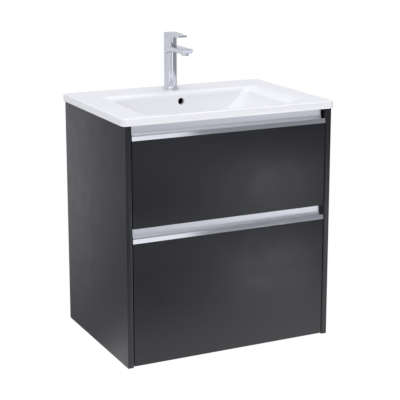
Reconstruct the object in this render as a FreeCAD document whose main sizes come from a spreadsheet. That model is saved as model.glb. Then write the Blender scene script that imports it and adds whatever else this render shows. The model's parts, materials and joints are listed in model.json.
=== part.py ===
"""Wall-hung bathroom vanity: two-drawer cabinet, ceramic basin, mixer tap, waste and bottle trap.

Millimetres, +Z up, front towards -Y. The origin is the middle of the four wall screws, on the wall
plane, so x is measured from the cabinet's middle and y from the wall. The helpers take heights from
the cabinet's bottom edge and move them to the origin.
"""
import FreeCAD, Part
import os
import re
import Sketcher

# ---------------------------------------------------------------- driving dimensions
SIZES = {
    # cabinet
    "cabinet_width": 600, "cabinet_height": 640, "cabinet_depth": 435,
    "side_board": 16, "front_board": 16, "rail_board": 16,
    "front_gap": 2, "bottom_gap": 3.5, "finger_gap": 26.4, "lip_height": 12.4,
    "upper_front_height": 228.5,
    # grip profile on each drawer front
    "profile_wall": 1.6, "lip_wall": 2, "trough_drop": 6, "profile_skirt": 22, "profile_clearance": 2,
    # rear rails and what joins them to the sides
    "rail_space": 18, "rail_height": 80, "upper_rail_drop": 90, "fitting_inset": 20,
    "cam_radius": 7.5, "cam_depth": 12.5, "bolt_reach": 34, "bolt_radius": 3.5, "bolt_thread": 11,
    "bolt_hole_radius": 4, "dowel_radius": 4, "dowel_reach": 20, "dowel_anchor": 10,
    "fitting_pitch": 32, "bolt_play": 1,
    # wall brackets
    "fixing_drop": 55, "plate_width": 58, "plate_height": 60, "plate_wall": 2.5, "plate_stand": 6.5,
    "plate_lip": 10, "screw_hole_radius": 3.5, "screw_pitch": 32, "plate_inset": 4,
    "hanger_width": 14, "hanger_depth": 44, "hanger_height": 56, "hook_wall": 3,
    "hook_play": 0.5, "adjuster_radius": 4, "adjuster_length": 10, "adjuster_stand": 1,
    # runners
    "runner_width": 12.7, "runner_height": 45, "runner_wall": 1.2, "runner_play": 0.8,
    "runner_lift": 18, "runner_end_play": 2, "rear_space": 69,
    "outer_relief": 3.2, "middle_relief": 4.2, "inner_relief": 4,
    # drawers
    "drawer_board": 12, "drawer_floor": 8, "floor_groove": 6, "floor_lift": 8,
    "upper_box_lift": 12, "upper_box_drop": 106.5, "lower_box_lift": 8, "lower_box_drop": 126.4,
    "bracket_wall": 1.5, "bracket_leg": 28, "bracket_height": 60, "bracket_lift": 24,
    "recess_half_width": 75, "recess_reach": 46,
    # basin
    "basin_overhang": 9, "basin_front_overhang": 4.5, "basin_edge": 20, "basin_corner": 14,
    "rim_side": 93, "rim_front": 39.5, "rim_back": 120, "bowl_depth": 126, "bowl_wall": 9,
    "bowl_corner": 45, "waste_from_wall": 205, "waste_hole_radius": 22.5,
    "tap_hole_radius": 17.5, "tap_from_wall": 53, "overflow_radius": 10, "overflow_drop": 27,
    "duct_half_width": 16, "duct_depth": 9, "duct_wall": 8,
    "duct_base_side": 10, "duct_base_reach": 34, "overflow_start": 14, "seat_play": 1,
    # waste and trap
    "waste_radius": 21, "waste_bore": 18, "flange_radius": 32, "flange_height": 2.5,
    "waste_length": 72, "plug_radius": 29, "plug_height": 5, "plug_play": 0.5, "stem_radius": 4,
    "plug_stem": 34, "spider_drop": 30, "spider_height": 8, "slot_half": 6, "guide_play": 0.06,
    "seal_height": 2.5, "nut_radius": 29, "nut_height": 11,
    "pipe_radius": 16, "pipe_wall": 2, "trap_drop": 44, "trap_radius": 27, "trap_height": 76,
    "trap_wall": 2.5, "cup_radius": 30, "cup_height": 42, "outlet_drop": 30, "trap_nut_height": 16,
    "trap_nut_wall": 8, "collar_height": 3, "collar_play": 0.5,
    "bead_from_wall": 60, "bead_width": 3, "bead_height": 1.5,
    # tap
    "column_radius": 18.5, "column_height": 121, "base_radius": 22.5, "base_height": 4,
    "base_seal": 1, "cartridge_radius": 15.5, "cartridge_height": 32,
    "inlet_radius": 4.5, "inlet_depth": 14, "inlet_offset": 7,
    "shank_radius": 16, "shank_bore": 12.5, "shank_length": 52, "shank_grip": 16, "ring_height": 9,
    "ring_radius": 25, "washer_height": 3,
    "spout_reach": 120, "spout_tip": 11, "spout_root": 25, "spout_rise": 2, "spout_slant": 9,
    "spout_root_width": 35.5, "spout_tip_width": 32, "aerator_radius": 10.5, "aerator_inset": 24,
    "aerator_lift": 2.2, "aerator_wall": 5,
    "lever_play": 0.6, "hood_height": 37, "hood_wall": 2.4, "paddle_reach": 78, "paddle_tip": 4.5,
    "paddle_root": 12, "paddle_tip_width": 33, "paddle_fall": 3, "lever_wedge": 8,
    "cartridge_neck": 8, "carrier_pocket": 14, "carrier_play": 0.3, "carrier_lift": 1,
    "pivot_height": 117, "carrier_radius": 12, "carrier_height": 9, "stem_half": 4,
    "stem_top": 34, "stem_foot": 4, "pin_radius": 1.5, "pin_play": 0.05, "pin_half": 9,
}

doc = FreeCAD.newDocument("Vanity")
sheet = doc.addObject("Spreadsheet::Sheet", "Sizes")
for row, (alias, size) in enumerate(SIZES.items(), start=1):
    sheet.set(f"A{row}", alias)
    sheet.set(f"B{row}", str(size))
    sheet.setAlias(f"B{row}", alias)
doc.recompute()

# ---------------------------------------------------------------- lines that pieces share
INNER = "(cabinet_width / 2 - side_board)"
FRONT = "(-cabinet_depth)"
BEHIND_FRONT = f"({FRONT} + front_board)"
FIXING = "(cabinet_height - fixing_drop)"
UPPER_LIP_TOP = "(cabinet_height - finger_gap)"
UPPER_FRONT_TOP = f"({UPPER_LIP_TOP} - lip_height)"
UPPER_FRONT_BOTTOM = f"({UPPER_FRONT_TOP} - upper_front_height)"
LOWER_LIP_TOP = f"({UPPER_FRONT_BOTTOM} - finger_gap)"
LOWER_FRONT_TOP = f"({LOWER_LIP_TOP} - lip_height)"
FLOOR_TOP = "(bottom_gap + side_board)"
DECK = "(cabinet_height + basin_edge)"
BOWL_FLOOR = f"({DECK} - bowl_depth)"
BASIN_HALF = "(cabinet_width / 2 + basin_overhang)"
BASIN_FRONT = f"({FRONT} - basin_front_overhang)"
DRAWER_LENGTH = "(cabinet_depth - front_board - rear_space)"
DRAWER_HALF = f"({INNER} - runner_width)"
DRAWER_INSIDE = f"({DRAWER_HALF} - drawer_board)"
RECESS_FRONT = "(-waste_from_wall - recess_reach)"
WASTE_Y = "(-waste_from_wall)"
TAP_Y = "(-tap_from_wall)"


# ---------------------------------------------------------------- building helpers
def on_sheet(formula):
    """Turn the size names in a formula into references to the sheet's cells."""
    return re.sub(r"[a-z][a-z_]+", lambda word: f"Sizes.{word.group()}", str(formula))


def bind(item, prop, formula):
    item.setExpression(prop, on_sheet(formula))


def number(formula):
    """A formula's present value, for a sketch's first drawing."""
    return float(sheet.evalExpression(on_sheet(formula)))


def place(item, x, y, z):
    """Bind a place: x from the middle, y from the wall, z from the cabinet's bottom edge."""
    bind(item, "Placement.Base.x", x)
    bind(item, "Placement.Base.y", y)
    bind(item, "Placement.Base.z", f"({z}) - {FIXING}")
    return item


def box(name, low, size):
    item = doc.addObject("Part::Box", name)
    for prop, formula in zip(("Length", "Width", "Height"), size):
        bind(item, prop, formula)
    return place(item, *low)


TURNS = {
    "Z": FreeCAD.Rotation(),
    "X": FreeCAD.Rotation(FreeCAD.Vector(0, 1, 0), 90),
    "Y": FreeCAD.Rotation(FreeCAD.Vector(1, 0, 0), -90),
    "-Y": FreeCAD.Rotation(FreeCAD.Vector(1, 0, 0), 90),
}


def rod(name, start, radius, length, along="Z"):
    item = doc.addObject("Part::Cylinder", name)
    bind(item, "Radius", radius)
    bind(item, "Height", length)
    item.Placement.Rotation = TURNS[along]
    return place(item, *start)


def joined(name, pieces):
    item = doc.addObject("Part::MultiFuse", name)
    item.Shapes = pieces
    item.Refine = True
    return item


def group(name, pieces):
    item = doc.addObject("Part::Compound", name)
    item.Links = pieces
    return item


def cut(name, base, tools):
    item = doc.addObject("Part::Cut", name)
    item.Base = base
    item.Tool = tools[0] if len(tools) == 1 else joined(f"{name}_tool", tools)
    return item


def common(name, base, tool):
    item = doc.addObject("Part::Common", name)
    item.Base = base
    item.Tool = tool
    return item


def mirrored(name, source):
    """The right-hand copy of a left-hand piece."""
    item = doc.addObject("Part::Mirroring", name)
    item.Source = source
    item.Normal = (1, 0, 0)
    return item


def both_sides(name, piece):
    return group(name, [piece, mirrored(f"{name}_right", piece)])


def outline(sketch, corners):
    """Draw a closed outline whose corners are bound to the sheet.

    A corner is (across, up), or (across, up, radius, side) where the line to the next corner is an
    arc of that radius: side 1 bulges to the right of the way there and -1 to the left.
    """
    points = [FreeCAD.Vector(number(corner[0]), number(corner[1]), 0) for corner in corners]
    first = sketch.GeometryCount
    for index, corner in enumerate(corners):
        start, end = points[index], points[(index + 1) % len(points)]
        if len(corner) == 2:
            sketch.addGeometry(Part.LineSegment(start, end))
            continue
        radius, side = number(corner[2]), corner[3]
        middle, half = (start + end) / 2, (end - start) / 2
        left = FreeCAD.Vector(-half.y, half.x, 0).normalize()
        rise = max(radius ** 2 - half.Length ** 2, 0) ** 0.5
        centre = middle + left * (side * rise)
        crown = centre - left * (side * radius)
        sketch.addGeometry(Part.Arc(start, crown, end))
    for index, corner in enumerate(corners):
        edge, following = first + index, first + (index + 1) % len(corners)
        is_arc = len(corner) == 4
        backwards = is_arc and corner[3] == -1
        starts, ends = (2, 1) if backwards else (1, 2)
        after = corners[(index + 1) % len(corners)]
        next_start = 2 if len(after) == 4 and after[3] == -1 else 1
        sketch.addConstraint(Sketcher.Constraint("Coincident", edge, ends, following, next_start))
        for kind, formula, value in zip(("DistanceX", "DistanceY"), corner, points[index]):
            at = sketch.addConstraint(Sketcher.Constraint(kind, -1, 1, edge, starts, value))
            bind(sketch, f"Constraints[{at}]", formula)
        if is_arc:
            at = sketch.addConstraint(Sketcher.Constraint("Radius", edge, number(corner[2])))
            bind(sketch, f"Constraints[{at}]", corner[2])


def body_with_sketch(name, plane, outlines):
    body = doc.addObject("PartDesign::Body", name)
    sketch = body.newObject("Sketcher::SketchObject", f"{name}_outline")
    origin_plane = [item for item in body.Origin.OriginFeatures if item.Role == plane][0]
    sketch.AttachmentSupport = (origin_plane, [""])
    sketch.MapMode = "FlatFace"
    for corners in outlines:
        outline(sketch, corners)
    return body, sketch


def turned(name, corners, at):
    """A lathe-turned piece: its half outline, as (radius, height), spun about Z."""
    body, sketch = body_with_sketch(name, "XZ_Plane", [corners])
    spin = body.newObject("PartDesign::Revolution", f"{name}_spin")
    spin.Profile = sketch
    spin.ReferenceAxis = (sketch, ["V_Axis"])
    spin.Angle = 360
    return place(body, *at)


def extruded(name, plane, outlines, length, at, midplane=False):
    """A piece of one section: YZ_Plane runs along +X, XY_Plane along +Z."""
    body, sketch = body_with_sketch(name, plane, outlines)
    pad = body.newObject("PartDesign::Pad", f"{name}_pad")
    pad.Profile = sketch
    bind(pad, "Length", length)
    pad.Midplane = midplane
    return place(body, *at)


def ring(name, at, outer, inner, height):
    return turned(name, [(inner, 0), (outer, 0), (outer, height), (inner, height)], at)


def rounded_rectangle(low_x, low_y, high_x, high_y, corner):
    """Outline of a rectangle with arcs at its corners, drawn anticlockwise."""
    return [
        (f"{low_x} + {corner}", low_y), (f"{high_x} - {corner}", low_y, corner, 1),
        (high_x, f"{low_y} + {corner}"), (high_x, f"{high_y} - {corner}", corner, 1),
        (f"{high_x} - {corner}", high_y), (f"{low_x} + {corner}", high_y, corner, 1),
        (low_x, f"{high_y} - {corner}"), (low_x, f"{low_y} + {corner}", corner, 1),
    ]


# ---------------------------------------------------------------- cabinet boards and their fittings
def fitting(tag, y, z, housing):
    """One cam fitting at a board's left end: (housing, bolt, cutters for the board, for the side)."""
    end = f"(-{INNER})"
    if housing == "up":
        cam_at = (f"{end} + bolt_reach", y, f"({z}) + side_board / 2 - cam_depth")
        cam = rod(f"{tag}_cam", cam_at, "cam_radius", "cam_depth")
        pocket = rod(f"{tag}_cam_pocket", cam_at, "cam_radius", "cam_depth")
    else:
        cam_at = (f"{end} + bolt_reach", f"({y}) + rail_board / 2 - cam_depth", z)
        cam = rod(f"{tag}_cam", cam_at, "cam_radius", "cam_depth", "Y")
        pocket = rod(f"{tag}_cam_pocket", cam_at, "cam_radius", "cam_depth", "Y")
    mouth = rod(f"{tag}_cam_mouth", (end, y, z), "bolt_hole_radius", "bolt_reach", "X")
    cam = cut(f"{tag}_cam_housing", cam, [mouth])
    bolt = rod(f"{tag}_bolt", (f"{end} - bolt_thread", y, z), "bolt_radius",
               "bolt_thread + bolt_reach - bolt_play", "X")
    bore = rod(f"{tag}_bolt_bore", (end, y, z), "bolt_hole_radius", "bolt_reach", "X")
    thread = rod(f"{tag}_bolt_thread", (f"{end} - bolt_thread", y, z), "bolt_radius", "bolt_thread", "X")
    return cam, bolt, [pocket, bore], [thread]


def dowel(tag, y, z):
    """One wooden dowel between a board's left end and the side: (dowel, its hole)."""
    start = (f"-{INNER} - dowel_anchor", y, z)
    pin = rod(f"{tag}_dowel", start, "dowel_radius", "dowel_anchor + dowel_reach", "X")
    hole = rod(f"{tag}_dowel_hole", start, "dowel_radius", "dowel_anchor + dowel_reach", "X")
    return pin, hole


RAIL_MIDDLE = "(-rail_space - rail_board / 2)"
UPPER_RAIL_TOP = "(cabinet_height - upper_rail_drop)"
LOWER_RAIL_TOP = f"({FLOOR_TOP} + rail_height)"
FLOOR_FRONT = f"({BEHIND_FRONT} + profile_clearance)"
FLOOR_MIDDLE = "(bottom_gap + side_board / 2)"
BOARDS = {
    "bottom_panel": ("up", [
        (f"{FLOOR_FRONT} + fitting_inset * 2", FLOOR_MIDDLE),
        ("-fitting_inset * 3 - rail_space", FLOOR_MIDDLE)]),
    "upper_rear_rail": ("back", [(RAIL_MIDDLE, f"{UPPER_RAIL_TOP} - fitting_inset")]),
    "lower_rear_rail": ("back", [(RAIL_MIDDLE, f"{LOWER_RAIL_TOP} - fitting_inset")]),
}
blanks = {
    "bottom_panel": box("bottom_blank", (f"-{INNER}", FLOOR_FRONT, "bottom_gap"),
                        (f"{INNER} * 2", f"-{FLOOR_FRONT} - profile_clearance", "side_board")),
    "upper_rear_rail": box("upper_rail_blank", (f"-{INNER}", "-rail_space - rail_board",
                                                f"{UPPER_RAIL_TOP} - rail_height"),
                           (f"{INNER} * 2", "rail_board", "rail_height")),
    "lower_rear_rail": box("lower_rail_blank", (f"-{INNER}", "-rail_space - rail_board", FLOOR_TOP),
                           (f"{INNER} * 2", "rail_board", "rail_height")),
}
cams, bolts, dowels, side_holes = [], [], [], []
boards = []
for board_name, (housing_side, places) in BOARDS.items():
    holes = []
    for count, (y, z) in enumerate(places):
        tag = f"{board_name}_{count}"
        cam, bolt, in_board, in_side = fitting(tag, y, z, housing_side)
        if housing_side == "up":
            pin, hole = dowel(tag, f"{y} + fitting_pitch", z)
        else:
            pin, hole = dowel(tag, y, f"{z} - fitting_pitch")
        cams.append(cam)
        bolts.append(bolt)
        dowels.append(pin)
        holes += in_board + [hole]
        side_holes += in_side + [hole]
    tools = group(f"{board_name}_holes", holes)
    right_tools = mirrored(f"{board_name}_holes_right", tools)
    boards.append(cut(board_name, blanks[board_name], [tools, right_tools]))

side_blank = box("side_blank", ("-cabinet_width / 2", FRONT, "0"),
                 ("side_board", "cabinet_depth", "cabinet_height"))
left_side_panel = cut("left_side_panel", side_blank, [group("side_holes", side_holes)])
right_side_panel = mirrored("right_side_panel", left_side_panel)
cam_housings = both_sides("cam_housings", group("cams_left", cams))
cam_bolts = both_sides("cam_bolts", group("bolts_left", bolts))
wooden_dowels = both_sides("wooden_dowels", group("dowels_left", dowels))

# ---------------------------------------------------------------- wall brackets
# Each plate is screwed to the wall; its upper lip stands off the wall and takes the hanger's hook.
PLATE_OUTER = f"({INNER} - plate_inset)"
plate_section = [
    ("0", "-plate_height / 2"), ("0", "plate_height / 2 - plate_wall"),
    ("-plate_stand", "plate_height / 2 - plate_wall"),
    ("-plate_stand", "plate_height / 2 + plate_lip"),
    ("-plate_stand - plate_wall", "plate_height / 2 + plate_lip"),
    ("-plate_stand - plate_wall", "plate_height / 2 - plate_wall * 2"),
    ("-plate_wall", "plate_height / 2 - plate_wall * 2"), ("-plate_wall", "-plate_height / 2"),
]
plate_blank = extruded("plate_blank", "YZ_Plane", [plate_section], "plate_width",
                       (f"-{PLATE_OUTER}", "0", FIXING))
PLATE_MIDDLE = f"({PLATE_OUTER} - plate_width / 2)"
screw_holes = [
    rod(f"plate_hole_{count}", (f"-{PLATE_MIDDLE}", "plate_wall", f"{FIXING} + screw_pitch / 2 * {sign}"),
        "screw_hole_radius", "plate_wall * 3", "-Y")
    for count, sign in enumerate((-1, 1))]
left_wall_plate = cut("left_wall_plate", plate_blank, screw_holes)
right_wall_plate = mirrored("right_wall_plate", left_wall_plate)

HOOK_TOP = f"({FIXING} + plate_height / 2 + plate_lip + hook_wall)"
HANGER_BACK = "(-plate_stand - plate_wall - hook_wall)"
hanger_case = box("hanger_case",
                  (f"-{INNER}", f"{HANGER_BACK} - hanger_depth", f"{HOOK_TOP} - hanger_height"),
                  ("hanger_width", "hanger_depth", "hanger_height"))
hook_arm = box("hook_arm", (f"-{INNER}", HANGER_BACK, f"{HOOK_TOP} - hook_wall"),
               ("hanger_width", f"-{HANGER_BACK} - plate_wall", "hook_wall"))
hook_drop = box("hook_drop", (f"-{INNER}", "-plate_stand + hook_play", f"{HOOK_TOP} - plate_lip"),
                ("hanger_width", "plate_stand - hook_play - plate_wall", "plate_lip"))
adjuster_seats = []
adjusters = []
for count, lift in enumerate(("hanger_height / 3", "hanger_height * 2 / 3")):
    at = (f"-{INNER} + hanger_width / 2", f"{HANGER_BACK} - hanger_depth - adjuster_stand",
          f"{HOOK_TOP} - {lift}")
    adjusters.append(rod(f"adjuster_{count}", at, "adjuster_radius", "adjuster_length", "Y"))
    adjuster_seats.append(rod(f"adjuster_seat_{count}", at, "adjuster_radius", "adjuster_length", "Y"))
left_hanger = cut("left_hanger", joined("hanger_solid", [hanger_case, hook_arm, hook_drop]), adjuster_seats)
right_hanger = mirrored("right_hanger", left_hanger)
hanger_adjusters = both_sides("hanger_adjusters", group("adjusters_left", adjusters))


# ---------------------------------------------------------------- drawers
def grip_profile(name, lip_top):
    """The extrusion along a drawer front's top: lip, rounded trough, back wall and skirt."""
    wall_front, wall_back = "front_board", "front_board + profile_wall"
    trough_top = "front_board - lip_wall - trough_drop"
    section = [
        ("0", "0"), ("0", "-lip_height"), (wall_front, "-lip_height"),
        (wall_front, "-lip_height - profile_skirt"), (wall_back, "-lip_height - profile_skirt"),
        (wall_back, "finger_gap - profile_clearance"), (wall_front, "finger_gap - profile_clearance"),
        (wall_front, trough_top, "front_board - lip_wall", -1), ("lip_wall", "-trough_drop"),
        ("lip_wall", "0"),
    ]
    return extruded(name, "YZ_Plane", [section], f"({INNER} - front_gap) * 2",
                    (f"-{INNER} + front_gap", FRONT, lip_top))


def channel(name, x, mouth, flange, height, z, length):
    """A runner member on the left: a C channel with its web at x and its mouth towards the drawer
    (1) or the side panel (-1)."""
    low_x = x if mouth == 1 else f"({x}) - {flange}"
    blank = box(f"{name}_blank", (low_x, f"{BEHIND_FRONT} + runner_end_play", z), (flange, length, height))
    hollow_x = f"({x}) + runner_wall" if mouth == 1 else f"({low_x}) - 1"
    hollow = box(f"{name}_hollow", (hollow_x, BEHIND_FRONT, f"({z}) + runner_wall"),
                 (f"{flange} - runner_wall + 1", f"{length} + runner_end_play * 2",
                  f"{height} - runner_wall * 2"))
    return cut(f"{name}_channel", blank, [hollow])


def runners(level, z):
    """The three telescoping members of a level's two runners, outermost first."""
    step = "(runner_wall + runner_play)"
    length = f"({DRAWER_LENGTH} - runner_end_play * 2)"
    outer = channel(f"{level}_outer", f"-{INNER}", 1, "(runner_width - outer_relief)",
                    "runner_height", z, length)
    middle = channel(f"{level}_middle", f"-{INNER} + {step}", 1, "(runner_width - middle_relief)",
                     f"(runner_height - {step} * 2)", f"({z}) + {step}", length)
    inner = channel(f"{level}_inner", f"-{DRAWER_HALF}", -1, "(runner_width - inner_relief)",
                    f"(runner_height - {step} * 4)", f"({z}) + {step} * 2", length)
    return [both_sides(f"{level}_{role}_runners", member)
            for role, member in (("cabinet", outer), ("middle", middle), ("drawer", inner))]


def drawer_sides(level, bottom, height):
    """The left side of a drawer box, grooved for its floor, and its right-hand copy."""
    blank = box(f"{level}_side_blank", (f"-{DRAWER_HALF}", BEHIND_FRONT, bottom),
                ("drawer_board", DRAWER_LENGTH, height))
    groove = box(f"{level}_side_groove",
                 (f"-{DRAWER_INSIDE} - floor_groove", BEHIND_FRONT, f"{bottom} + floor_lift"),
                 ("floor_groove", DRAWER_LENGTH, "drawer_floor"))
    left = cut(f"{level}_drawer_left_side", blank, [groove])
    return left, mirrored(f"{level}_drawer_right_side", left)


def front_brackets(level, bottom):
    """Angle brackets that hold a drawer front to the box's sides."""
    low = f"{bottom} + bracket_lift"
    against_front = box(f"{level}_bracket_front", (f"-{DRAWER_INSIDE}", BEHIND_FRONT, low),
                        ("bracket_leg", "bracket_wall", "bracket_height"))
    against_side = box(f"{level}_bracket_side", (f"-{DRAWER_INSIDE}", BEHIND_FRONT, low),
                       ("bracket_wall", "bracket_leg", "bracket_height"))
    return both_sides(f"{level}_front_brackets", joined(f"{level}_bracket", [against_front, against_side]))


def drawer_front(level, bottom, top):
    return box(f"{level}_drawer_front", (f"-{INNER} + front_gap", FRONT, bottom),
               (f"({INNER} - front_gap) * 2", "front_board", f"{top} - {bottom}"))


def upper_drawer():
    """The upper drawer box is bent round the waste: its floor and back are open at the middle."""
    bottom = f"({UPPER_FRONT_BOTTOM} + upper_box_lift)"
    height = f"({UPPER_FRONT_TOP} - upper_box_drop - {bottom})"
    floor_half = f"({DRAWER_INSIDE} + floor_groove)"
    floor_top = f"({bottom} + floor_lift + drawer_floor)"
    wall_height = f"({height} - floor_lift - drawer_floor)"
    rear = f"({BEHIND_FRONT} + {DRAWER_LENGTH})"
    floor_outline = [
        (f"-{floor_half}", "0"), (floor_half, "0"), (floor_half, DRAWER_LENGTH),
        ("recess_half_width", DRAWER_LENGTH), ("recess_half_width", f"{RECESS_FRONT} - {BEHIND_FRONT}"),
        ("-recess_half_width", f"{RECESS_FRONT} - {BEHIND_FRONT}"), ("-recess_half_width", DRAWER_LENGTH),
        (f"-{floor_half}", DRAWER_LENGTH),
    ]
    floor = extruded("upper_drawer_floor", "XY_Plane", [floor_outline], "drawer_floor",
                     ("0", BEHIND_FRONT, f"{bottom} + floor_lift"))
    back_left = box("upper_drawer_back_left", (f"-{DRAWER_INSIDE}", f"{rear} - drawer_board", floor_top),
                    (f"{DRAWER_INSIDE} - recess_half_width - drawer_board", "drawer_board", wall_height))
    back_right = mirrored("upper_drawer_back_right", back_left)
    cheek = box("recess_cheek", (f"-recess_half_width - drawer_board", RECESS_FRONT, floor_top),
                ("drawer_board", f"{rear} - {RECESS_FRONT}", wall_height))
    bridge = box("recess_bridge",
                 ("-recess_half_width - drawer_board", f"{RECESS_FRONT} - drawer_board", floor_top),
                 ("(recess_half_width + drawer_board) * 2", "drawer_board", wall_height))
    walls = group("waste_recess_walls", [cheek, mirrored("recess_cheek_right", cheek), bridge])
    left, right = drawer_sides("upper", bottom, height)
    front = drawer_front("upper", UPPER_FRONT_BOTTOM, UPPER_FRONT_TOP)
    grip = grip_profile("upper_grip_profile", UPPER_LIP_TOP)
    return [front, grip, left, right, floor, back_left, back_right, walls,
            front_brackets("upper", bottom)] + runners("upper", f"{bottom} + runner_lift")


def lower_drawer():
    bottom = f"({FLOOR_TOP} + lower_box_lift)"
    height = f"({LOWER_FRONT_TOP} - lower_box_drop - {bottom})"
    floor_top = f"({bottom} + floor_lift + drawer_floor)"
    floor = box("lower_drawer_floor",
                (f"-{DRAWER_INSIDE} - floor_groove", BEHIND_FRONT, f"{bottom} + floor_lift"),
                (f"({DRAWER_INSIDE} + floor_groove) * 2", DRAWER_LENGTH, "drawer_floor"))
    back = box("lower_drawer_back",
               (f"-{DRAWER_INSIDE}", f"{BEHIND_FRONT} + {DRAWER_LENGTH} - drawer_board", floor_top),
               (f"{DRAWER_INSIDE} * 2", "drawer_board", f"{height} - floor_lift - drawer_floor"))
    left, right = drawer_sides("lower", bottom, height)
    front = drawer_front("lower", "bottom_gap", LOWER_FRONT_TOP)
    grip = grip_profile("lower_grip_profile", LOWER_LIP_TOP)
    return [front, grip, left, right, floor, back,
            front_brackets("lower", bottom)] + runners("lower", f"{bottom} + runner_lift")


# ---------------------------------------------------------------- basin
# Each level of the bowl, from the deck down: how far below the deck, and how far its outline has
# drawn in from the mouth at the sides, at the front and at the back.
BOWL_LEVELS = [
    ("0", "0", "0", "0"),
    ("22", "11", "7", "3"),
    ("60", "44", "24", "9"),
    ("98", "92", "52", "24"),
]
BOWL_HALF = f"({BASIN_HALF} - rim_side)"
BOWL_FRONT = f"({BASIN_FRONT} + rim_front)"
BOWL_BACK = "(-rim_back)"


def bowl(name, grow, extra_drop, top_drop):
    """A bowl-shaped loft: the hollow itself, or its outside when grown by the wall."""
    levels = []
    for count, (drop, side, front, back) in enumerate(BOWL_LEVELS):
        levels.append((drop if count else top_drop,
                       (f"-{BOWL_HALF} + {side} - {grow}", f"{BOWL_FRONT} + {front} - {grow}",
                        f"{BOWL_HALF} - {side} + {grow}", f"{BOWL_BACK} - {back} + {grow}"), "bowl_corner"))
    foot = "waste_hole_radius + bowl_wall * 3"
    levels.append((f"bowl_depth + {extra_drop}",
                   (f"-({foot}) * 1.6 - {grow}", f"{WASTE_Y} - ({foot}) - {grow}",
                    f"({foot}) * 1.6 + {grow}", f"{WASTE_Y} + ({foot}) + {grow}"), "bowl_corner / 2"))
    sketches = []
    for count, (drop, corners, radius) in enumerate(levels):
        sketch = doc.addObject("Sketcher::SketchObject", f"{name}_level_{count}")
        outline(sketch, rounded_rectangle(*corners, radius))
        sketches.append(place(sketch, "0", "0", f"{DECK} - ({drop})"))
    loft = doc.addObject("Part::Loft", name)
    loft.Sections = sketches
    loft.Solid = True
    loft.Ruled = True
    return loft


def basin():
    slab = extruded("basin_slab", "XY_Plane", [rounded_rectangle(
        f"-{BASIN_HALF}", BASIN_FRONT, BASIN_HALF, "0", "basin_corner")], "basin_edge",
        ("0", "0", "cabinet_height"))
    outside = bowl("bowl_outside", "bowl_wall", "bowl_wall", "basin_edge / 2")
    hollow = bowl("bowl_hollow", "0", "0", "-0.01")
    duct_top = f"({DECK} - basin_edge / 2)"
    duct_foot = f"({BOWL_FLOOR} - bowl_wall - duct_wall)"
    duct_back = f"({BOWL_BACK} + duct_wall * 2 + duct_depth)"
    casing_size = "(duct_half_width + duct_wall) * 2"
    casing = box("duct_casing", ("-duct_half_width - duct_wall", f"{BOWL_BACK} - bowl_wall", duct_foot),
                 (casing_size, f"{duct_back} - {BOWL_BACK} + bowl_wall", f"{duct_top} - {duct_foot}"))
    base = box("duct_base",
               ("-duct_half_width - duct_wall - duct_base_side", f"{WASTE_Y} - duct_base_reach", duct_foot),
               (f"{casing_size} + duct_base_side * 2", f"{duct_back} - {WASTE_Y} + duct_base_reach",
                "bowl_wall * 2 + duct_wall - 0.5"))
    duct = box("duct_hollow",
               ("-duct_half_width", f"{BOWL_BACK} + duct_wall", f"{duct_foot} + duct_wall / 2"),
               ("duct_half_width * 2", "duct_depth", f"{duct_top} - {duct_foot} - duct_wall"))
    duct_run = box("duct_run", ("-duct_half_width", WASTE_Y, f"{duct_foot} + duct_wall / 2"),
                   ("duct_half_width * 2", f"{BOWL_BACK} + duct_wall + duct_depth - {WASTE_Y}",
                    "duct_wall"))
    overflow = rod("overflow_hole", ("0", f"{BOWL_BACK} - overflow_start", f"{DECK} - overflow_drop"),
                   "overflow_radius", "overflow_start + duct_wall + duct_depth / 2", "Y")
    waste_hole = rod("waste_hole", ("0", WASTE_Y, f"{duct_foot} - 1"), "waste_hole_radius", "bowl_depth")
    flange_seat = rod("flange_seat", ("0", WASTE_Y, f"{BOWL_FLOOR} - flange_height"),
                      "flange_radius + seat_play", "bowl_depth")
    tap_hole = rod("tap_hole", ("0", TAP_Y, "cabinet_height - 1"), "tap_hole_radius", "basin_edge + 2")
    solid = joined("basin_solid", [slab, outside, casing, base])
    return cut("basin", solid, [hollow, duct, duct_run, overflow, waste_hole, flange_seat, tap_hole])


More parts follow.
